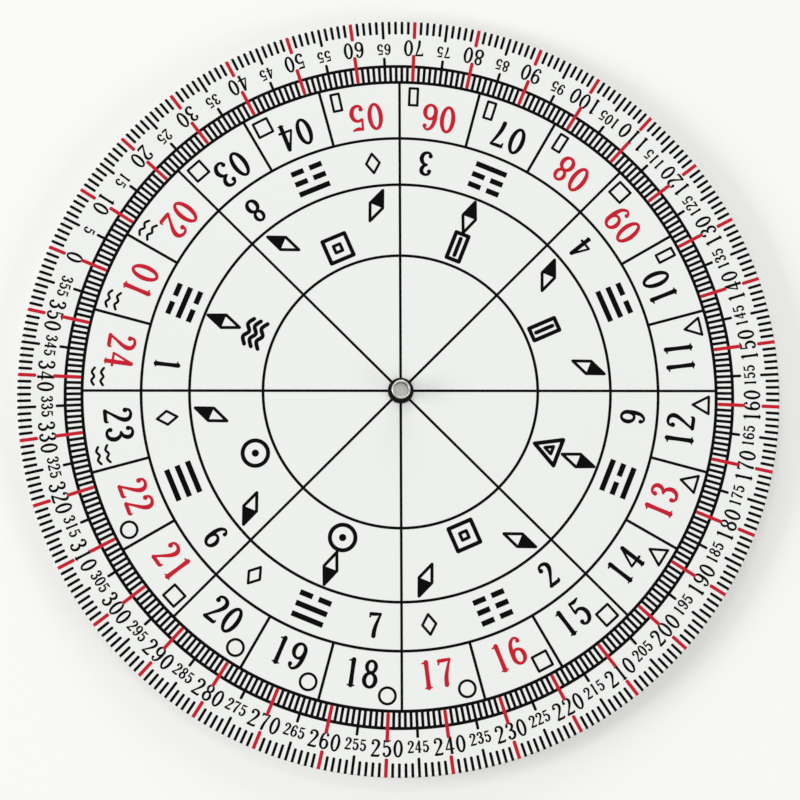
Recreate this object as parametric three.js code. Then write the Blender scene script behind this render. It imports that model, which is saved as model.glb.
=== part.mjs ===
import * as THREE from 'three';

// Round ruler for reading directions off a floor plan: a printed dial turns on a rivet over a base disc.
// Millimetres, +Z up. The origin is the middle of the base disc's underside, and the dial turns about Z.

// Both discs are cut from sheet with one round die, which rolls over the edge of the face that it enters.
const discDiameter = 150;
const baseThickness = 1.2;
const dialThickness = 1;
const rolledEdge = 0.6;

// The rivet: its flange sits in the base's underside, and its shank stands out of the dial with a hollow end.
const shankDiameter = 3.65;
const shankStandsProud = 2.5;
const endWall = 0.35;
const endBoreDepth = 2.2;
const flangeWidth = 1.3;
const flangeThickness = 0.4;
const flangeSunkBy = 0.1;

// The slip washer keeps the two sheets apart, and the push-on retainer grips the shank and holds the dial down.
const slipWasherWidth = 4;
const slipWasherThickness = 0.25;
const retainerWidth = 0.68;
const retainerThickness = 0.4;

// Clearances: the running ones are round the turning dial, and the others between pieces that stay still.
const runningGap = 0.05;
const runningClearance = 0.1;
const fixedClearance = 0.03;
const recessClearance = 0.25;

// Rounded edges, each as a share of the wall or thickness that carries it.
const endOuterRoundShare = 0.55;
const endInnerRoundShare = 0.3;
const boreFloorRoundShare = 0.6;
const flangeRoundShare = 0.35;
const retainerRoundShare = 0.3;

// Facets round the discs, round the hub pieces and along a quarter round.
const discFacets = 144;
const hubFacets = 48;
const roundSteps = 3;

const discRadius = discDiameter / 2;
const shankRadius = shankDiameter / 2;
const boreRadius = shankRadius - endWall;
const flangeRadius = shankRadius + flangeWidth;
const recessRadius = flangeRadius + recessClearance;
const recessDepth = flangeSunkBy + flangeThickness;

const slipWasherTop = baseThickness + slipWasherThickness;
const dialBottom = slipWasherTop + runningGap;
const dialTop = dialBottom + dialThickness;
const retainerBottom = dialTop + runningGap;
const shankTop = dialTop + shankStandsProud;

const quarterTurn = Math.PI / 2;

// The quarter turns at which each corner of a section starts, going round it with the material on the left.
const bottomOuter = -quarterTurn;
const topOuter = 0;
const topInner = quarterTurn;

const sheetWhite = { color: '#eef0ec', roughness: 0.45, metalness: 0 };
const slipFilm = { color: '#d7dad4', roughness: 0.3, metalness: 0 };
const tumbledAluminium = { color: '#cfd1cb', roughness: 0.3, metalness: 1 };
const blackNylon = { color: '#17161a', roughness: 0.5, metalness: 0 };

function point(radius, height) {
  return new THREE.Vector2(radius, height);
}

// A rounded corner of a section. The corner is where the two straight sides would meet.
function corner(radius, height, round, startAngle) {
  const middleAngle = startAngle + quarterTurn / 2;
  const centreRadius = radius - round * Math.sign(Math.cos(middleAngle));
  const centreHeight = height - round * Math.sign(Math.sin(middleAngle));
  const points = [];
  for (let step = 0; step <= roundSteps; step += 1) {
    const angle = startAngle + (quarterTurn * step) / roundSteps;
    points.push(point(centreRadius + round * Math.cos(angle), centreHeight + round * Math.sin(angle)));
  }
  return points;
}

// A section in radius and height, turned about Z. It closes on itself unless it starts and ends on the axis.
function turned(section, facets) {
  const outline = section[0].x > 0 ? [...section, section[0]] : section;
  const geometry = new THREE.LatheGeometry(outline, facets);
  geometry.rotateX(quarterTurn);
  return geometry;
}

function mesh(name, geometry, finish) {
  const made = new THREE.Mesh(geometry, new THREE.MeshStandardMaterial(finish));
  made.name = name;
  return made;
}

// The base disc: a hole for the shank, a recess below for the flange, and the rolled edge underneath.
function baseDisc() {
  const holeRadius = shankRadius + fixedClearance;
  const section = [
    point(recessRadius, 0),
    ...corner(discRadius, 0, rolledEdge, bottomOuter),
    point(discRadius, baseThickness),
    point(holeRadius, baseThickness),
    point(holeRadius, recessDepth),
    point(recessRadius, recessDepth),
  ];
  return mesh('base_disc', turned(section, discFacets), sheetWhite);
}

// The printed dial: it turns on the shank, and its rolled edge is on the printed side.
function frontDial() {
  const holeRadius = shankRadius + runningClearance;
  const section = [
    point(holeRadius, dialBottom),
    point(discRadius, dialBottom),
    ...corner(discRadius, dialTop, rolledEdge, topOuter),
    point(holeRadius, dialTop),
  ];
  return mesh('front_dial', turned(section, discFacets), sheetWhite);
}

// The thin washer between the sheets, which leaves the dial free to turn without rubbing the base.
function slipWasher() {
  const innerRadius = shankRadius + fixedClearance;
  const outerRadius = innerRadius + slipWasherWidth;
  const section = [
    point(innerRadius, baseThickness),
    point(outerRadius, baseThickness),
    point(outerRadius, slipWasherTop),
    point(innerRadius, slipWasherTop),
  ];
  return mesh('slip_washer', turned(section, hubFacets), slipFilm);
}

// The semi-tubular rivet: a flange, a solid shank, and a bore sunk into the end with a rounded corner at its floor.
function pivotRivet() {
  const flangeRound = flangeThickness * flangeRoundShare;
  const boreFloor = shankTop - endBoreDepth;
  const section = [
    point(0, flangeSunkBy),
    ...corner(flangeRadius, flangeSunkBy, flangeRound, bottomOuter),
    ...corner(flangeRadius, recessDepth, flangeRound, topOuter),
    point(shankRadius, recessDepth),
    ...corner(shankRadius, shankTop, endWall * endOuterRoundShare, topOuter),
    ...corner(boreRadius, shankTop, endWall * endInnerRoundShare, topInner),
    ...corner(boreRadius, boreFloor, endWall * boreFloorRoundShare, bottomOuter).reverse(),
    point(0, boreFloor),
  ];
  return mesh('pivot_rivet', turned(section, hubFacets), tumbledAluminium);
}

// The black push-on washer that shows as a dark ring round the shank.
function retainer() {
  const innerRadius = shankRadius + fixedClearance;
  const outerRadius = innerRadius + retainerWidth;
  const retainerTop = retainerBottom + retainerThickness;
  const round = retainerThickness * retainerRoundShare;
  const section = [
    point(innerRadius, retainerBottom),
    point(outerRadius, retainerBottom),
    ...corner(outerRadius, retainerTop, round, topOuter),
    ...corner(innerRadius, retainerTop, round, topInner),
  ];
  return mesh('retaining_washer', turned(section, hubFacets), blackNylon);
}

const ruler = new THREE.Group();
ruler.add(baseDisc(), slipWasher(), pivotRivet(), retainer());

const turningDial = new THREE.Group();
turningDial.add(frontDial());
ruler.add(turningDial);

export default ruler;
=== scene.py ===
import math

import bpy
from mathutils import Matrix, Vector
from mathutils.geometry import delaunay_2d_cdt


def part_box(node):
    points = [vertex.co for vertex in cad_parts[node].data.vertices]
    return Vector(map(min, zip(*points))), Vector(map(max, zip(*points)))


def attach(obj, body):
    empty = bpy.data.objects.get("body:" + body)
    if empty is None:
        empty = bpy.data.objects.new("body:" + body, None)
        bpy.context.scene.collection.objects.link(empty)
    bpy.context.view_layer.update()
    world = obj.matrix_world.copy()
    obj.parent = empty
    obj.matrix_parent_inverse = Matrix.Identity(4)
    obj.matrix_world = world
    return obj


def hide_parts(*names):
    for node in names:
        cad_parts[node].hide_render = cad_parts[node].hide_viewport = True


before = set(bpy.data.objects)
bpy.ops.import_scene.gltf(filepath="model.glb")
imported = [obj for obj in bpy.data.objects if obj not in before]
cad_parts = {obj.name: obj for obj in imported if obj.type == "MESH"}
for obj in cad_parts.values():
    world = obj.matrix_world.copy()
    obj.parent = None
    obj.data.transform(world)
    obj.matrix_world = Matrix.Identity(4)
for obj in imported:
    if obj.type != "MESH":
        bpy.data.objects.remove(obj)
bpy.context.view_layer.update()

# A round compass ruler: a screen-printed dial of white sheet turns on a rivet over a plain base disc.
mm = 0.001
baseLow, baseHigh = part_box("base_disc")
dialLow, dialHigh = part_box("front_dial")
rivetLow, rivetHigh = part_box("pivot_rivet")
retainerLow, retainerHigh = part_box("retaining_washer")

# The print is laid out in the photograph's pixels, 380 of them to the dial's radius, and in degrees.
dialRadiusPixels = 380
pixel = dialHigh.x / dialRadiusPixels


def sRgb(hexCode):
    # From a colour as it is written, such as "#cd2233", to linear light.
    channels = [int(hexCode[i:i + 2], 16) / 255 for i in (1, 3, 5)]
    return [c / 12.92 if c <= 0.04045 else ((c + 0.055) / 1.055) ** 2.4 for c in channels] + [1]


def perSize(millimetres):
    return 1 / (millimetres * mm)  # a pattern's scale from the size of one feature


def addNode(tree, kind, values=None, links=None, **settings):
    node = tree.nodes.new(kind)
    for name, value in settings.items():
        setattr(node, name, value)
    for socket, value in (values or {}).items():
        node.inputs[socket].default_value = value
    for socket, source in (links or {}).items():
        tree.links.new(source, node.inputs[socket])
    return node


def newMaterial(name):
    material = bpy.data.materials.new(name)
    material.use_nodes = True
    material.node_tree.nodes.clear()
    return material, material.node_tree


def onSides(tree, colour, sideShadeColour):
    # Painted shade: the more upright a face stands, by its normal, the more it takes the darker side colour
    # in place of its body colour.
    facing = addNode(tree, "ShaderNodeNewGeometry").outputs["Normal"]
    height = addNode(tree, "ShaderNodeSeparateXYZ", None, {"Vector": facing}).outputs["Z"]
    level = addNode(tree, "ShaderNodeMath", None, {0: height}, operation="ABSOLUTE").outputs["Value"]
    return addNode(tree, "ShaderNodeMix", {"A": sRgb(sideShadeColour)}, {"Factor": level, "B": colour},
                   data_type="RGBA").outputs["Result"]


octaves = {"drift": 3.0, "sheen": 4.0, "relief": 2.0}  # how finely each of a finish's patterns breaks up


def surfaceFinish(name, look):
    # Every finish here is one body colour with slow drift, a roughness that wanders, and a fine relief; a
    # finish with "sides" also gets painted shade on its upright faces.
    material, tree = newMaterial(name)
    place = addNode(tree, "ShaderNodeTexCoord").outputs["Object"]
    pattern = {}
    for kind, detail in octaves.items():
        values = {"Scale": perSize(look[kind + "Size"]), "Detail": detail}
        pattern[kind] = addNode(tree, "ShaderNodeTexNoise", values, {"Vector": place}).outputs["Fac"]
    colour = addNode(tree, "ShaderNodeMix", {"A": sRgb(look["light"]), "B": sRgb(look["dark"])},
                     {"Factor": pattern["drift"]}, data_type="RGBA").outputs["Result"]
    # Painted shade on upright faces, from the finish's "sides" colour.
    if "sides" in look:
        colour = onSides(tree, colour, look["sides"])
    rough = addNode(tree, "ShaderNodeMapRange", {"To Min": look["smooth"], "To Max": look["rough"]},
                    {"Value": pattern["sheen"]}).outputs["Result"]
    relief = {"Strength": look["reliefStrength"], "Distance": look["reliefHeight"] * mm}
    bump = addNode(tree, "ShaderNodeBump", relief, {"Height": pattern["relief"]}).outputs["Normal"]
    shader = addNode(tree, "ShaderNodeBsdfPrincipled", look["sockets"],
                     {"Base Color": colour, "Roughness": rough, "Normal": bump})
    addNode(tree, "ShaderNodeOutputMaterial", None, {"Surface": shader.outputs["BSDF"]})
    return material


# Rigid PVC sheet, calendered to silk: an even white with a slow, soft sheen and a faint orange peel.
# Its upright sides are painted greyer than its faces: painted shade that dims their bright rim and the light
# they throw back onto the table.
silkPvc = {"light": "#eff1ee", "dark": "#edefec", "sides": "#cbccc8", "driftSize": 30, "sheenSize": 6,
           "smooth": 0.42, "rough": 0.5, "reliefSize": 0.5, "reliefStrength": 0.35, "reliefHeight": 0.004,
           "sockets": {"IOR": 1.53}}
# Screen-printing ink, laid on wet through a mesh: dense, flat and smooth, with hardly a shine.
blackInk = {"light": "#060607", "dark": "#040405", "driftSize": 4, "sheenSize": 1.5, "smooth": 0.36,
            "rough": 0.5, "reliefSize": 0.25, "reliefStrength": 0.4, "reliefHeight": 0.003,
            "sockets": {"IOR": 1.5, "Specular IOR Level": 0.06}}
redInk = dict(blackInk, light="#cd2233", dark="#c11c2b")
# Bare aluminium, barrel tumbled: pale soft metal with fine handling marks that blur what it mirrors.
# Its upright sides, the bore's wall among them, are painted greyer: painted shade that darkens the crescent
# of wall seen inside the bore.
tumbledMetal = {"light": "#f4f6ef", "dark": "#ced0c9", "sides": "#b4b5af", "driftSize": 0.7,
                "sheenSize": 0.5, "smooth": 0.22, "rough": 0.38, "reliefSize": 0.12, "reliefStrength": 0.5,
                "reliefHeight": 0.003, "sockets": {"Metallic": 1.0}}
# Black nylon, moulded: deep charcoal with a satin edge.
blackNylon = {"light": "#100f13", "dark": "#0b0a0d", "driftSize": 2, "sheenSize": 0.6, "smooth": 0.38,
              "rough": 0.52, "reliefSize": 0.15, "reliefStrength": 0.4, "reliefHeight": 0.003,
              "sockets": {"IOR": 1.53, "Specular IOR Level": 0.12}}
# Polyester slip film, cast and drawn: milky, smooth and slightly shiny.
milkyFilm = {"light": "#dde0da", "dark": "#d2d6cf", "driftSize": 5, "sheenSize": 2, "smooth": 0.22,
             "rough": 0.32, "reliefSize": 0.4, "reliefStrength": 0.2, "reliefHeight": 0.002,
             "sockets": {"IOR": 1.57}}

finishes = {
    "dialPvc": surfaceFinish("silkWhitePvcDial", silkPvc),
    "basePvc": surfaceFinish("silkWhitePvcBase", silkPvc),
    "black": surfaceFinish("blackScreenInk", blackInk),
    "red": surfaceFinish("redScreenInk", redInk),
    "aluminium": surfaceFinish("tumbledAluminium", tumbledMetal),
    "nylon": surfaceFinish("mouldedBlackNylon", blackNylon),
    "film": surfaceFinish("milkyPolyesterFilm", milkyFilm),
}
print("finishes made:", len(finishes))


def joinParts(parts):
    points, faces = [], []
    for partPoints, partFaces in parts:
        start = len(points)
        points += partPoints
        faces += [tuple(start + i for i in face) for face in partFaces]
    return points, faces


def makePiece(name, parts, finish, body, sharpAngle=30):
    points, faces = joinParts(parts)
    mesh = bpy.data.meshes.new(name)
    mesh.from_pydata(points, [], faces)
    mesh.shade_smooth()
    mesh.set_sharp_from_angle(angle=math.radians(sharpAngle))
    mesh.materials.append(finishes[finish])
    piece = bpy.data.objects.new(name, mesh)
    bpy.context.scene.collection.objects.link(piece)
    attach(piece, body)
    return piece


def turned(section, facets):
    # A section of radius and height, its material on the left as it goes round, turned about Z.
    # It closes on itself unless it starts and ends on the axis.
    turns = [2 * math.pi * i / facets for i in range(facets)]
    points, rings = [], []
    for r, z in section:
        if r == 0:
            rings.append([len(points)] * facets)
            points.append((0, 0, z))
        else:
            rings.append(list(range(len(points), len(points) + facets)))
            points += [(r * math.cos(a), r * math.sin(a), z) for a in turns]
    if section[0][0] > 0:
        rings.append(rings[0])
    faces = []
    for near, far in zip(rings, rings[1:]):
        for i in range(facets):
            j = (i + 1) % facets
            corners = near[i], near[j], far[j], far[i]
            faces.append(tuple(dict.fromkeys(corners)))  # at the axis only three of them differ
    return points, faces


quarterTurn = 90


def roundedCorner(radius, height, rounding, startAngle, steps, lead=0.01 * mm):
    # The straight sides would meet at radius and height. A short lead on each keeps the flats looking flat.
    middle = math.radians(startAngle + quarterTurn / 2)
    centreRadius = radius - math.copysign(rounding, math.cos(middle))
    centreHeight = height - math.copysign(rounding, math.sin(middle))
    angles = [math.radians(startAngle + quarterTurn * i / steps) for i in range(steps + 1)]
    arc = [(centreRadius + rounding * math.cos(a), centreHeight + rounding * math.sin(a)) for a in angles]
    first, last = angles[0], angles[-1]
    before = (arc[0][0] + lead * math.sin(first), arc[0][1] - lead * math.cos(first))
    after = (arc[-1][0] - lead * math.sin(last), arc[-1][1] + lead * math.cos(last))
    return [before, *arc, after]


# The angle at which each corner of a section starts, in degrees, with the material on the left.
bottomOuter, topOuter, topInner, bottomInner = -quarterTurn, 0, quarterTurn, 2 * quarterTurn

# The rivet: a flange, a solid shank, and a bore in the end, which is rounded over and gives the bright rim.
rivet = {"flangeWidth": 1.3 * mm, "flangeThickness": 0.4 * mm, "flangeRound": 0.14 * mm, "flangeSteps": 5,
         "endWall": 0.35 * mm, "boreDepth": 2.2 * mm, "outerRound": 0.2 * mm, "outerSteps": 8,
         "innerRound": 0.1 * mm, "floorRound": 0.21 * mm, "boreSteps": 6, "facets": 192}
shankRadius = rivetHigh.x - rivet["flangeWidth"]

# The sheets: one round die cuts both and rolls one edge of each. On the dial it leaves a low lip as well.
sheets = {"rolledEdge": 0.6 * mm, "baseRollSteps": 8, "dialRollSteps": 12, "lipWidth": 0.14 * mm,
          "lipHeight": 0.06 * mm, "lipLeadShare": 0.125, "lipSteps": 6, "burrRound": 0.06 * mm,
          "holeRound": 0.08 * mm, "burrSteps": 3, "dialHole": shankRadius + 0.1 * mm,
          "baseHole": shankRadius + 0.03 * mm, "recessRadius": rivetHigh.x + 0.25 * mm,
          "recessDepth": 0.5 * mm, "facets": 720}


def dialEdge():
    # From the flat face outward: up the lip, and over the roll to the upright edge.
    roll, width, height = sheets["rolledEdge"], sheets["lipWidth"], sheets["lipHeight"]
    start = dialHigh.x - roll - width
    path = [(start - width, dialHigh.z), (start - width * sheets["lipLeadShare"], dialHigh.z)]
    for i in range(sheets["lipSteps"]):
        t = i / sheets["lipSteps"]
        path.append((start + width * t, dialHigh.z + height * (3 - 2 * t) * t * t))  # eases in and out
    for i in range(sheets["dialRollSteps"] + 1):
        turn = math.radians(quarterTurn * i / sheets["dialRollSteps"])
        across, up = roll * math.sin(turn), (roll + height) * math.cos(turn)
        path.append((dialHigh.x - roll + across, dialHigh.z - roll + up))
    return path


def dialSheet():
    steps = sheets["burrSteps"]
    section = [
        *roundedCorner(dialHigh.x, dialLow.z, sheets["burrRound"], bottomOuter, steps),
        *reversed(dialEdge()),
        *roundedCorner(sheets["dialHole"], dialHigh.z, sheets["holeRound"], topInner, steps),
        (sheets["dialHole"], dialLow.z),
    ]
    piece = makePiece("dialSheet", [turned(section, sheets["facets"])], "dialPvc", "dial")
    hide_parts("front_dial")


def baseSheet():
    outer, top, under = baseHigh.x, baseHigh.z, baseLow.z
    recessTop = under + sheets["recessDepth"]
    burr, steps = sheets["burrRound"], sheets["burrSteps"]
    section = [
        *roundedCorner(sheets["recessRadius"], under, burr, bottomInner, steps),
        *roundedCorner(outer, under, sheets["rolledEdge"], bottomOuter, sheets["baseRollSteps"]),
        *roundedCorner(outer, top, burr, topOuter, steps),
        (sheets["baseHole"], top),
        (sheets["baseHole"], recessTop),
        (sheets["recessRadius"], recessTop),
    ]
    piece = makePiece("baseSheet", [turned(section, sheets["facets"])], "basePvc", "base")
    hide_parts("base_disc")


def pivotRivet():
    top, under = rivetHigh.z, rivetLow.z
    bore = shankRadius - rivet["endWall"]
    flangeTop, floor = under + rivet["flangeThickness"], top - rivet["boreDepth"]
    section = [
        (0, under),
        *roundedCorner(rivetHigh.x, under, rivet["flangeRound"], bottomOuter, rivet["flangeSteps"]),
        *roundedCorner(rivetHigh.x, flangeTop, rivet["flangeRound"], topOuter, rivet["flangeSteps"]),
        (shankRadius, flangeTop),
        *roundedCorner(shankRadius, top, rivet["outerRound"], topOuter, rivet["outerSteps"]),
        *roundedCorner(bore, top, rivet["innerRound"], topInner, rivet["boreSteps"]),
        *reversed(roundedCorner(bore, floor, rivet["floorRound"], bottomOuter, rivet["boreSteps"])),
        (0, floor),
    ]
    parts = [turned(section, rivet["facets"])]
    piece = makePiece("pivotRivet", parts, "aluminium", "base")
    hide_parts("pivot_rivet")


# The retainer: a flat nylon washer pushed down the shank.
retainer = {"hole": shankRadius + 0.03 * mm, "round": 0.12 * mm, "roundSteps": 5, "facets": 192}


def retainingWasher():
    outer, top, under = retainerHigh.x, retainerHigh.z, retainerLow.z
    rounding, steps = retainer["round"], retainer["roundSteps"]
    section = [
        (retainer["hole"], under),
        (outer, under),
        *roundedCorner(outer, top, rounding, topOuter, steps),
        *roundedCorner(retainer["hole"], top, rounding, topInner, steps),
    ]
    parts = [turned(section, retainer["facets"])]
    piece = makePiece("retainingWasher", parts, "nylon", "base")
    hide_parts("retaining_washer")


def slipFilm():
    # The film washer is its own solid, which only takes its finish here.
    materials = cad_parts["slip_washer"].data.materials
    materials.clear()
    materials.append(finishes["film"])


dialSheet()
baseSheet()
pivotRivet()
retainingWasher()
slipFilm()
print("sheets, rivet and washers made")

# The ink stands a hair above the sheet and is keyed a hair into it. It goes on in three passes, each over
# the one before: the straight bars, then the rings and the other marks, then the red.
ink = {
    "keyed": 0.004 * mm,
    "bar": 0.012 * mm,
    "black": 0.014 * mm,
    "red": 0.02 * mm,
    "ringFacets": 360,
    "stopsShort": 0.025 * mm,  # of the dial's edge
    "roundEnd": [(0, 0.5), (0.12, 0.82), (0.28, 0.96), (0.45, 1)],  # in bar widths: how far along, how wide
    "squareEnd": [(0, 1)],
    "grid": 0.0001,  # the points of a mark lie on this grid, a share of its height
    "nearness": 0.00003,  # and points as near as this become one
}
degreeTurn = -67.58  # the photograph has the 0 mark this far round from its top, clockwise
sectorAngle = 45
cellAngle = 15


def direction(angle):
    a = math.radians(angle)  # clockwise from the photograph's top, as a compass reads
    return Vector((math.sin(a), math.cos(a)))


def facePath(inner, outer, width, end):
    # Points of radius and height over the sheet's face, each with the face's normal and the bar's half width.
    outer = min(outer, dialHigh.x - ink["stopsShort"])
    edge = [(*p, 1) for p in dialEdge() if inner + width < p[0] < outer]
    path = [(inner + along * width, dialHigh.z, share) for along, share in end]
    path += edge or [(outer - along * width, dialHigh.z, share) for along, share in reversed(end)]
    spots = [Vector(p[:2]) for p in path]
    stations = []
    for before, spot, after, (_, _, share) in zip(spots[:1] + spots, spots, spots[1:] + spots[-1:], path):
        slope = (after - before).normalized()
        stations.append((spot, Vector((-slope.y, slope.x)), share * width / 2))
    return stations


def inkRing(radius, width):
    low, high = dialHigh.z - ink["keyed"], dialHigh.z + ink["black"]
    inner, outer = radius - width / 2, radius + width / 2
    return turned([(inner, low), (outer, low), (outer, high), (inner, high)], ink["ringFacets"])


def inkBar(angle, width, inner, outer, level="bar", end="roundEnd"):
    # A straight bar along a radius. One that runs to the dial's edge follows its lip and roll.
    out = direction(angle)
    points, faces = [], []
    path = facePath(inner, outer, width, ink[end])
    corners = 4  # of the bar's section at each station
    for point, normal, half in path:
        side = Vector((out.y, -out.x)) * half
        low, high = point - normal * ink["keyed"], point + normal * ink[level]
        points += [(*(out * low.x - side), low.y), (*(out * low.x + side), low.y)]
        points += [(*(out * high.x + side), high.y), (*(out * high.x - side), high.y)]
    last = corners * (len(path) - 1)
    for near in range(0, last, corners):
        far = near + corners
        for j in range(corners):
            k = (j + 1) % corners
            faces.append((near + k, near + j, far + j, far + k))
    faces += [(0, 1, 2, 3), (last + 3, last + 2, last + 1, last)]
    return points, faces


# Pen strokes: each gives the closed outlines that the ink covers, in the mark's own unit box.
def disc(x, y, radius, sides=16):
    turn = 2 * math.pi / sides
    return [[(x + radius * math.cos(turn * i), y + radius * math.sin(turn * i)) for i in range(sides)]]


def through(stations, steps=5):
    # A smooth run through the stations, each of x, y and pen width.
    ends = [stations[0], *stations, stations[-1]]
    run = []
    for a, b, c, d in zip(ends, ends[1:], ends[2:], ends[3:]):
        for i in range(steps):
            t = i / steps
            run.append([0.5 * (2 * q + (r - p) * t + (2 * p - 5 * q + 4 * r - s) * t * t
                               + (3 * q - p - 3 * r + s) * t ** 3) for p, q, r, s in zip(a, b, c, d)])
    return [*run, stations[-1]]


def pen(*stations, weight=1.0):
    # A stroke with round ends, smooth where it has more than two stations.
    run = through(stations) if len(stations) > 2 else stations
    sides = []
    for i, (x, y, width) in enumerate(run):
        before, after = run[max(i - 1, 0)], run[min(i + 1, len(run) - 1)]
        along = Vector((after[0] - before[0], after[1] - before[1])).normalized()
        across = Vector((-along.y, along.x)) * width * weight / 2
        sides.append(((x + across.x, y + across.y), (x - across.x, y - across.y)))
    outlines = [t for a, b in zip(sides, sides[1:]) for t in ([a[0], a[1], b[1]], [a[0], b[1], b[0]])]
    for x, y, width in (run[0], run[-1]):
        outlines += disc(x, y, width * weight / 2)
    return outlines


def oval(x, y, across, up, sidePen, endPen, weight=1.0, sides=40):
    # A closed oval whose pen is wider at its sides than at its top and bottom.
    rims = []
    for i in range(sides):
        a = 2 * math.pi * i / sides
        half = weight * (sidePen * math.cos(a) ** 2 + endPen * math.sin(a) ** 2) / 2
        normal = Vector((math.cos(a) / across, math.sin(a) / up)).normalized() * half
        middle = Vector((x + across * math.cos(a), y + up * math.sin(a)))
        rims.append((tuple(middle - normal), tuple(middle + normal)))
    return [[a[0], a[1], b[1], b[0]] for a, b in zip(rims, rims[1:] + rims[:1])]


def outlined(corners, width):
    closed = [*corners, corners[0]]
    return [o for a, b in zip(closed, closed[1:]) for o in pen((*a, width), (*b, width))]


digitWidth = 0.52


def digitOutlines(digit, w):
    # Narrow book figures, 1 high and digitWidth wide, with ball ends. w thickens or thins the pen.
    return {
        "0": lambda: oval(0.26, 0.5, 0.2, 0.455, 0.122, 0.085, w),
        "1": lambda: pen((0.27, 0.03, 0.13), (0.27, 0.5, 0.112), (0.27, 0.92, 0.13), weight=w)
        + [[(0.13, 0), (0.41, 0), (0.41, 0.035), (0.34, 0.07), (0.2, 0.07), (0.13, 0.035)]]
        + [[(0.27, 0.99), (0.2, 0.94), (0.11, 0.91), (0.11, 0.87), (0.23, 0.86)]],
        "2": lambda: disc(0.1, 0.77, 0.068 * w)
        + pen((0.065, 0.79, 0.06), (0.11, 0.91, 0.075), (0.25, 0.957, 0.085), (0.4, 0.89, 0.11),
              (0.445, 0.74, 0.128), (0.37, 0.54, 0.105), (0.2, 0.29, 0.075), (0.06, 0.08, 0.07), weight=w)
        + pen((0.06, 0.06, 0.11), (0.26, 0.055, 0.105), (0.43, 0.06, 0.1), (0.47, 0.14, 0.04), weight=w),
        "3": lambda: disc(0.1, 0.81, 0.064 * w)
        + pen((0.065, 0.82, 0.06), (0.12, 0.92, 0.075), (0.25, 0.957, 0.085), (0.38, 0.89, 0.11),
              (0.415, 0.76, 0.12), (0.35, 0.62, 0.1), (0.21, 0.55, 0.06), weight=w)
        + pen((0.21, 0.545, 0.06), (0.36, 0.5, 0.1), (0.452, 0.32, 0.126), (0.39, 0.12, 0.11),
              (0.24, 0.045, 0.085), (0.11, 0.09, 0.075), (0.065, 0.18, 0.06), weight=w)
        + disc(0.1, 0.18, 0.064 * w),
        "4": lambda: pen((0.345, 0.04, 0.12), (0.345, 0.93, 0.12), weight=w)
        + pen((0.33, 0.95, 0.07), (0.04, 0.29, 0.062), weight=w)
        + pen((0.04, 0.275, 0.068), (0.48, 0.275, 0.074), weight=w)
        + [[(0.23, 0), (0.46, 0), (0.46, 0.03), (0.41, 0.06), (0.28, 0.06), (0.23, 0.03)]],
        "5": lambda: pen((0.11, 0.92, 0.075), (0.27, 0.9, 0.105), (0.44, 0.945, 0.055), weight=w)
        + pen((0.105, 0.94, 0.06), (0.09, 0.58, 0.065), weight=w)
        + pen((0.1, 0.56, 0.085), (0.25, 0.61, 0.085), (0.4, 0.52, 0.11), (0.452, 0.32, 0.126),
              (0.38, 0.12, 0.11), (0.23, 0.045, 0.085), (0.11, 0.09, 0.075), (0.07, 0.18, 0.06), weight=w)
        + disc(0.105, 0.18, 0.062 * w),
        "6": lambda: oval(0.26, 0.3, 0.195, 0.258, 0.118, 0.08, w)
        + pen((0.065, 0.34, 0.118), (0.075, 0.6, 0.118), (0.14, 0.83, 0.1), (0.28, 0.955, 0.075),
              (0.4, 0.91, 0.06), (0.44, 0.84, 0.05), weight=w)
        + disc(0.405, 0.825, 0.06 * w),
        "7": lambda: pen((0.07, 0.91, 0.1), (0.25, 0.915, 0.1), (0.45, 0.935, 0.075), weight=w)
        + pen((0.045, 0.79, 0.05), (0.075, 0.93, 0.07), weight=w)
        + pen((0.455, 0.93, 0.06), (0.36, 0.66, 0.085), (0.275, 0.34, 0.115), (0.255, 0.055, 0.125),
              weight=w),
        "8": lambda: oval(0.26, 0.755, 0.16, 0.2, 0.105, 0.08, w)
        + oval(0.26, 0.285, 0.197, 0.243, 0.12, 0.085, w),
        "9": lambda: [[(digitWidth - x, 1 - y) for x, y in o] for o in digitOutlines("6", w)],
    }[digit]()


def flatInk(outlines):
    # The outlines overlap where strokes meet, so they are merged into one flat patch of triangles, of which
    # those that an outline covers are kept.
    points, faces, grid = [], [], ink["grid"]
    for outline in outlines:
        turn = sum(a[0] * b[1] - a[1] * b[0] for a, b in zip(outline, outline[1:] + outline[:1]))
        faces.append(list(range(len(points), len(points) + len(outline))))
        points += [Vector((round(x / grid) * grid, round(y / grid) * grid))
                   for x, y in (outline if turn > 0 else reversed(outline))]
    spots, _, found, _, _, coveredBy = delaunay_2d_cdt(points, [], faces, 0, ink["nearness"])
    triangles = []
    for (a, b, c), cover in zip(found, coveredBy):
        if cover:
            turnsLeft = (spots[b] - spots[a]).cross(spots[c] - spots[a]) > 0
            triangles.append((a, b, c) if turnsLeft else (a, c, b))
    used = sorted({i for t in triangles for i in t})
    renumber = {old: new for new, old in enumerate(used)}
    return [tuple(spots[i]) for i in used], [tuple(renumber[i] for i in t) for t in triangles]


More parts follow.
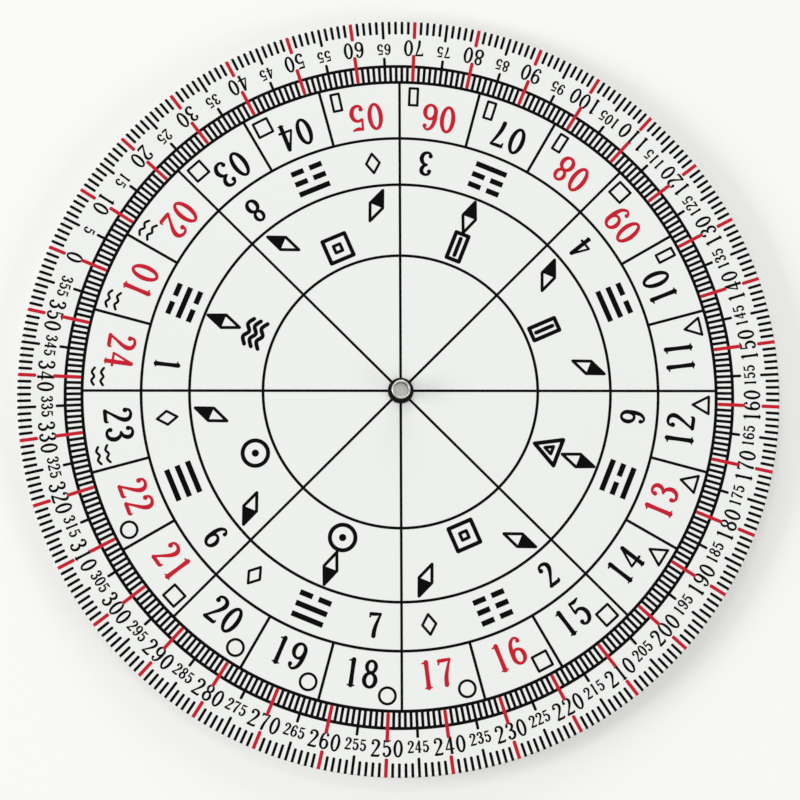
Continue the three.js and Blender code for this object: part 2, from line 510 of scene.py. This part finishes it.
def inkPatch(flat, radius, angle, size, level="black", shift=(0, 0), spin=0):
    # Raises a flat patch into a thin slab of ink. Its top points at the dial's middle, as on all the print.
    out = direction(angle)
    right, up = Vector((-out.y, out.x)), -out
    turn = Matrix.Rotation(math.radians(spin), 2)
    spots = []
    for x, y in flat[0]:
        local = turn @ Vector(((x + shift[0]) * size, (y + shift[1]) * size))
        spots.append(out * radius + right * local.x + up * local.y)
    low, high = dialHigh.z - ink["keyed"], dialHigh.z + ink[level]
    count = len(spots)
    points = [(p.x, p.y, high) for p in spots] + [(p.x, p.y, low) for p in spots]
    faces = list(flat[1]) + [(c + count, b + count, a + count) for a, b, c in flat[1]]
    edges = {(a, b) for t in flat[1] for a, b in zip(t, (t[1], t[2], t[0]))}
    faces += [(a + count, b + count, b, a) for a, b in sorted(edges) if (b, a) not in edges]
    return points, faces


def digitSet(weight):
    return {d: flatInk(digitOutlines(d, weight)) for d in "0123456789"}


def inkNumber(digits, text, radius, angle, height, advance, level="black"):
    # The number stands on a straight line, its middle on the radius.
    start = -((len(text) - 1) * advance + digitWidth) / 2
    return [inkPatch(digits[d], radius, angle, height, level, (start + i * advance, -0.5))
            for i, d in enumerate(text)]


# The line work: rings, the eight spokes, and the walls of the twenty-four cells.
lineWork = {"rings": [136.8, 209.6, 257.4], "ringWidth": 2.8, "bandRings": [315.7, 332.3],
            "bandRingWidth": 3.1, "spokeWidth": 2.6, "spokeStart": 11.5, "cellWallWidth": 2.8,
            "cellWallStart": 257.4}


def lineWorkParts():
    parts = [inkRing(r * pixel, lineWork["ringWidth"] * pixel) for r in lineWork["rings"]]
    parts += [inkRing(r * pixel, lineWork["bandRingWidth"] * pixel) for r in lineWork["bandRings"]]
    end = lineWork["bandRings"][0] * pixel
    for angle in range(0, 360, cellAngle):
        kind = "cellWall" if angle % sectorAngle else "spoke"
        parts.append(inkBar(angle, lineWork[kind + "Width"] * pixel, lineWork[kind + "Start"] * pixel, end,
                            end="squareEnd"))
    return parts


# The scales: a ladder of 1 degree bars between two rings, and 1 degree ticks at the dial's edge. The bars and
# ticks at the tens are red, and those at the fives between them are longer than the rest.
scales = {"tens": 10, "fives": 5, "ladder": [316.5, 331.5], "ladderWidth": 2.9,
          "fiveDegree": [332.5, 341.7], "fiveWidth": 2.8, "redLadder": [317.1, 344.8], "redWidth": 3.5,
          "edgeTick": 365.8, "edgeFive": 360.8, "edgeRed": 361.4, "edgeWidth": 2.8}


def ladderParts():
    ends = [r * pixel for r in scales["ladder"]]
    bars = [inkBar(d + degreeTurn, scales["ladderWidth"] * pixel, *ends, end="squareEnd")
            for d in range(360) if d % scales["tens"]]
    ends = [r * pixel for r in scales["fiveDegree"]]
    return bars + [inkBar(d + degreeTurn, scales["fiveWidth"] * pixel, *ends)
                   for d in range(scales["fives"], 360, scales["tens"])]


def edgeTickParts():
    starts = {d: scales["edgeTick"] if d % scales["fives"] else scales["edgeFive"]
              for d in range(360) if d % scales["tens"]}
    return [inkBar(d + degreeTurn, scales["edgeWidth"] * pixel, start * pixel, dialHigh.x)
            for d, start in starts.items()]


def redTickParts():
    parts = []
    for d in range(0, 360, scales["tens"]):
        width, angle = scales["redWidth"] * pixel, d + degreeTurn
        parts.append(inkBar(angle, width, *[r * pixel for r in scales["redLadder"]], "red"))
        parts.append(inkBar(angle, width, scales["edgeRed"] * pixel, dialHigh.x, "red"))
    return parts


# The numbers: tens are tall and light, fives small and a little bolder.
numbers = {"tensRadius": 351.6, "tensHeight": 16.8, "tensAdvance": 0.655, "tensWeight": 1.3,
           "fivesRadius": 350.1, "fivesHeight": 11.5, "fivesAdvance": 0.635, "fivesWeight": 1.52}


def degreeNumberParts():
    parts = []
    for kind, first in (("tens", 0), ("fives", scales["fives"])):
        digits = digitSet(numbers[kind + "Weight"])
        for d in range(first, 360, scales["tens"]):
            parts += inkNumber(digits, str(d), numbers[kind + "Radius"] * pixel, d + degreeTurn,
                               numbers[kind + "Height"] * pixel, numbers[kind + "Advance"])
    return parts


# The twenty-four cells hold plain numbers, red (r) or black (b), from 01 at the 0 degree mark, and each has a
# small mark beside its number.
cells = {"colours": "rbrrbbbrbbrrbbbrrbrrrbbr", "firstCell": 19, "numberRadius": 281, "numberTurn": 8.1,
         "height": 28, "advance": 0.65, "weight": 1.28, "markRadius": 301, "markTurn": 2.7, "markSize": 19,
         "markPen": 0.135,
         "elements": ["wood"] * 3 + ["earth", "wood"] + ["fire"] * 4 + ["earth"] * 2 + ["metal"] * 4
         + ["earth", "metal"] + ["water"] * 4 + ["earth"] * 2 + ["wood"]}


def cellNumberParts(colour):
    digits = digitSet(cells["weight"])
    parts = []
    for cell, letter in enumerate(cells["colours"]):
        if colour.startswith(letter):
            number = (cell - cells["firstCell"]) % len(cells["colours"]) + 1
            angle = cellAngle * cell + cells["numberTurn"]
            parts += inkNumber(digits, f"{number:02d}", cells["numberRadius"] * pixel, angle,
                               cells["height"] * pixel, cells["advance"], colour)
    return parts


# Five plain shapes stand for the five elements: a post, a triangle, a square, a circle and waves.
def wave(y, width):
    return pen(*[(-0.45 + 0.225 * i, y + 0.065 * (-1) ** i, width) for i in range(5)])


def elementShape(kind, width):
    return {
        "wood": lambda: outlined([(-0.22, -0.46), (0.22, -0.46), (0.22, 0.46), (-0.22, 0.46)], width),
        "fire": lambda: outlined([(-0.46, -0.38), (0.46, -0.38), (0, 0.46)], width),
        "earth": lambda: outlined([(-0.4, -0.4), (0.4, -0.4), (0.4, 0.4), (-0.4, 0.4)], width),
        "metal": lambda: oval(0, 0, 0.42, 0.42, width, width),
        "water": lambda: wave(0.24, width) + wave(-0.24, width),
    }[kind]()


def elementMarkParts():
    flats = {kind: flatInk(elementShape(kind, cells["markPen"])) for kind in set(cells["elements"])}
    return [inkPatch(flats[kind], cells["markRadius"] * pixel, cellAngle * cell + cells["markTurn"],
                     cells["markSize"] * pixel) for cell, kind in enumerate(cells["elements"])]


# The eight sectors: a number, a three-line figure of whole (1) and broken (0) lines, and in four a lozenge.
sectors = {"numbers": "34927618", "figures": ["100", "011", "101", "000", "110", "111", "010", "001"],
           "lozengeIn": [3, 4, 5, 7], "radius": 233, "numberTurn": 6.5, "figureTurn": 22.3,
           "lozengeTurn": 38.3, "numberHeight": 25, "numberAdvance": 0.6, "numberWeight": 1.4,
           "figureSize": 33, "lineThick": 0.165, "linePitch": 0.335, "brokenGap": 0.095, "lozengeSize": 20,
           "lozengePen": 0.13}


def threeLineFigure(lines):
    # The first line is the lowest.
    half, thick, pitch, gap = 0.5, sectors["lineThick"], sectors["linePitch"], sectors["brokenGap"]
    outlines = []
    for i, line in enumerate(lines):
        low = (i - 1) * pitch - thick / 2
        spans = [(-half, half)] if line == "1" else [(-half, -gap), (gap, half)]
        outlines += [[(a, low), (b, low), (b, low + thick), (a, low + thick)] for a, b in spans]
    return outlines


def sectorParts():
    digits = digitSet(sectors["numberWeight"])
    lozenge = flatInk(outlined([(0, 0.5), (-0.34, 0), (0, -0.5), (0.34, 0)], sectors["lozengePen"]))
    radius = sectors["radius"] * pixel
    parts = []
    for i, lines in enumerate(sectors["figures"]):
        start = sectorAngle * i
        parts += inkNumber(digits, sectors["numbers"][i], radius, start + sectors["numberTurn"],
                           sectors["numberHeight"] * pixel, sectors["numberAdvance"])
        parts.append(inkPatch(flatInk(threeLineFigure(lines)), radius, start + sectors["figureTurn"],
                              sectors["figureSize"] * pixel))
        if i in sectors["lozengeIn"]:
            parts.append(inkPatch(lozenge, radius, start + sectors["lozengeTurn"],
                                  sectors["lozengeSize"] * pixel))
    return parts


# The inner ring: a large element shape in each sector. A compass needle stands outside it and points outward,
# or two stand beside it and point the way that the middles of the next sectors lie.
innerRing = {"elements": ["wood", "wood", "fire", "earth", "metal", "metal", "water", "earth"],
             "elementTurn": 21.6, "elementRadius": 157, "elementSize": 30, "elementPen": 0.135,
             "thinPenShare": 0.8, "needleRadius": 189.5, "needleSize": 34, "needleWaist": 0.2,
             "needlePen": 0.09, "cornerTurns": [6.8, 37.8]}


def largeElement(kind):
    width = innerRing["elementPen"]
    thin = width * innerRing["thinPenShare"]
    inner = {
        "wood": lambda: pen((0, -0.3, width), (0, 0.3, width)),
        "fire": lambda: outlined([(-0.13, -0.16), (0.13, -0.16), (0, 0.1)], thin),
        "earth": lambda: outlined([(-0.12, -0.12), (0.12, -0.12), (0.12, 0.12), (-0.12, 0.12)], thin),
        "metal": lambda: disc(0, 0, 0.12),
        "water": lambda: wave(0, width),
    }[kind]()
    return flatInk(elementShape(kind, width) + inner)


def needle():
    tip, waist, width = 0.5, innerRing["needleWaist"], innerRing["needlePen"]
    return flatInk(outlined([(0, tip), (-waist, 0), (0, -tip), (waist, 0)], width)
                   + [[(0, tip), (-waist, 0), (waist, 0)]])


def innerRingParts():
    needleFlat = needle()
    size, radius = innerRing["needleSize"] * pixel, innerRing["needleRadius"] * pixel
    parts = []
    for i, kind in enumerate(innerRing["elements"]):
        start = sectorAngle * i
        parts.append(inkPatch(largeElement(kind), innerRing["elementRadius"] * pixel,
                              start + innerRing["elementTurn"], innerRing["elementSize"] * pixel))
        if i % 2 == 0:
            parts.append(inkPatch(needleFlat, radius, start + innerRing["elementTurn"], size, spin=180))
        else:
            aims = (start - sectorAngle / 2, start + sectorAngle * 3 / 2)
            for turn, towards in zip(innerRing["cornerTurns"], aims):
                # The patch's top points inward, so half a turn and the difference of angles aim the needle.
                angle = start + turn
                parts.append(inkPatch(needleFlat, radius, angle, size, spin=180 + angle - towards))
    return parts


# The print: each piece's parts, and the ink that they are printed in.
printed = {
    "lineWork": (lineWorkParts(), "black"),
    "ladderBars": (ladderParts(), "black"),
    "edgeTicks": (edgeTickParts(), "black"),
    "redTicks": (redTickParts(), "red"),
    "degreeNumbers": (degreeNumberParts(), "black"),
    "cellNumbersBlack": (cellNumberParts("black"), "black"),
    "cellNumbersRed": (cellNumberParts("red"), "red"),
    "elementMarks": (elementMarkParts(), "black"),
    "sectorFigures": (sectorParts(), "black"),
    "innerRingMarks": (innerRingParts(), "black"),
}
for name, (parts, colour) in printed.items():
    makePiece(name, parts, colour, "dial")
print("print laid on the dial:", len(printed), "pieces")

# The table: white laminate, pressed to a fine matt grain, so that it takes soft shadows and mirrors nothing.
# It lies a hair below the base, so that no two faces share a plane.
table = {"halfSide": 1.6, "top": -0.01 * mm, "colour": "#f8f8f6", "rough": 0.6, "grainSize": 0.6,
         "grainDetail": 2.0, "grainStrength": 0.2, "grainHeight": 0.003}


def tableTop():
    material, tree = newMaterial("whiteLaminateTable")
    place = addNode(tree, "ShaderNodeTexCoord").outputs["Object"]
    scale = {"Scale": perSize(table["grainSize"]), "Detail": table["grainDetail"]}
    grain = addNode(tree, "ShaderNodeTexNoise", scale, {"Vector": place}).outputs["Fac"]
    relief = {"Strength": table["grainStrength"], "Distance": table["grainHeight"] * mm}
    bump = addNode(tree, "ShaderNodeBump", relief, {"Height": grain}).outputs["Normal"]
    shader = addNode(tree, "ShaderNodeBsdfPrincipled",
                     {"Base Color": sRgb(table["colour"]), "Roughness": table["rough"]}, {"Normal": bump})
    addNode(tree, "ShaderNodeOutputMaterial", None, {"Surface": shader.outputs["BSDF"]})
    half, top = table["halfSide"], table["top"]
    corners = [(-half, -half, top), (half, -half, top), (half, half, top), (-half, half, top)]
    mesh = bpy.data.meshes.new("table")
    mesh.from_pydata(corners, [], [(0, 1, 2, 3)])
    mesh.materials.append(material)
    piece = bpy.data.objects.new("table", mesh)
    bpy.context.scene.collection.objects.link(piece)


# The room: an even white, with two low windows and three soft panels. Each lamp is given by its azimuth,
# clockwise from the photograph's top, its height in degrees, its width in metres and its watts.
room = {"colour": "#ffffff", "strength": 0.65, "lampDistance": 3.0, "lampTall": 0.75, "lampTint": "#ffffff",
        "lamps": {"leftWindow": (267, 17, 1.5, 46.8), "farWindow": (3, 12, 1.9, 31.3),
                  "farPanel": (340, 40, 0.75, 7.6), "rightPanel": (118, 18, 1.95, 19.6),
                  "nearPanel": (182, 37, 0.75, 3.8)}}


def roomLight():
    world = bpy.data.worlds.new("room")
    bpy.context.scene.world = world
    world.use_nodes = True
    tree = world.node_tree
    tree.nodes.clear()
    glow = {"Color": sRgb(room["colour"]), "Strength": room["strength"]}
    light = addNode(tree, "ShaderNodeBackground", glow)
    addNode(tree, "ShaderNodeOutputWorld", None, {"Surface": light.outputs["Background"]})


def lampLights():
    for name, (azimuth, height, width, watts) in room["lamps"].items():
        lamp = bpy.data.lights.new(name, "AREA")
        lamp.shape = "RECTANGLE"
        lamp.size, lamp.size_y = width, room["lampTall"]
        lamp.energy = watts
        lamp.color = sRgb(room["lampTint"])[:3]
        holder = bpy.data.objects.new(name, lamp)
        bpy.context.scene.collection.objects.link(holder)
        side, rise = direction(azimuth), math.radians(height)
        back = Vector((side.x * math.cos(rise), side.y * math.cos(rise), math.sin(rise)))
        holder.location = back * room["lampDistance"]
        holder.rotation_euler = (-back).to_track_quat("-Z", "Y").to_euler()


# The camera looks almost straight down from a little below and left of the middle. Its lean, side and roll
# are in degrees, its distance, focal length, aim and image width in the photograph's pixels, its sensor in
# millimetres, and near and far, between which it sees, in metres.
camera = {"lean": 7.7, "side": -15.03, "roll": 14.94, "distance": 2107.8, "focal": 2119.1,
          "aim": (-0.71, -9.27), "imageWidth": 800, "sensor": 36, "near": 0.01, "far": 10}


def makeCamera():
    lean, side, roll = (math.radians(camera[k]) for k in ("lean", "side", "roll"))
    back = Vector((math.sin(side) * math.sin(lean), -math.cos(side) * math.sin(lean), math.cos(lean)))
    levelRight = Vector((math.cos(side), math.sin(side), 0))
    levelUp = back.cross(levelRight)
    right = levelRight * math.cos(roll) + levelUp * math.sin(roll)
    up = levelUp * math.cos(roll) - levelRight * math.sin(roll)
    aim = Vector((camera["aim"][0] * pixel, camera["aim"][1] * pixel, dialHigh.z))
    lens = bpy.data.cameras.new("camera")
    lens.sensor_width = camera["sensor"]
    lens.lens = camera["sensor"] * camera["focal"] / camera["imageWidth"]
    lens.clip_start, lens.clip_end = camera["near"], camera["far"]
    holder = bpy.data.objects.new("camera", lens)
    bpy.context.scene.collection.objects.link(holder)
    turn = Matrix((right, up, back)).transposed().to_4x4()
    holder.matrix_world = Matrix.Translation(aim + back * camera["distance"] * pixel) @ turn
    bpy.context.scene.camera = holder


tableTop()
roomLight()
lampLights()
makeCamera()
bpy.context.scene.view_settings.view_transform = "Standard"
print("stage and camera set")
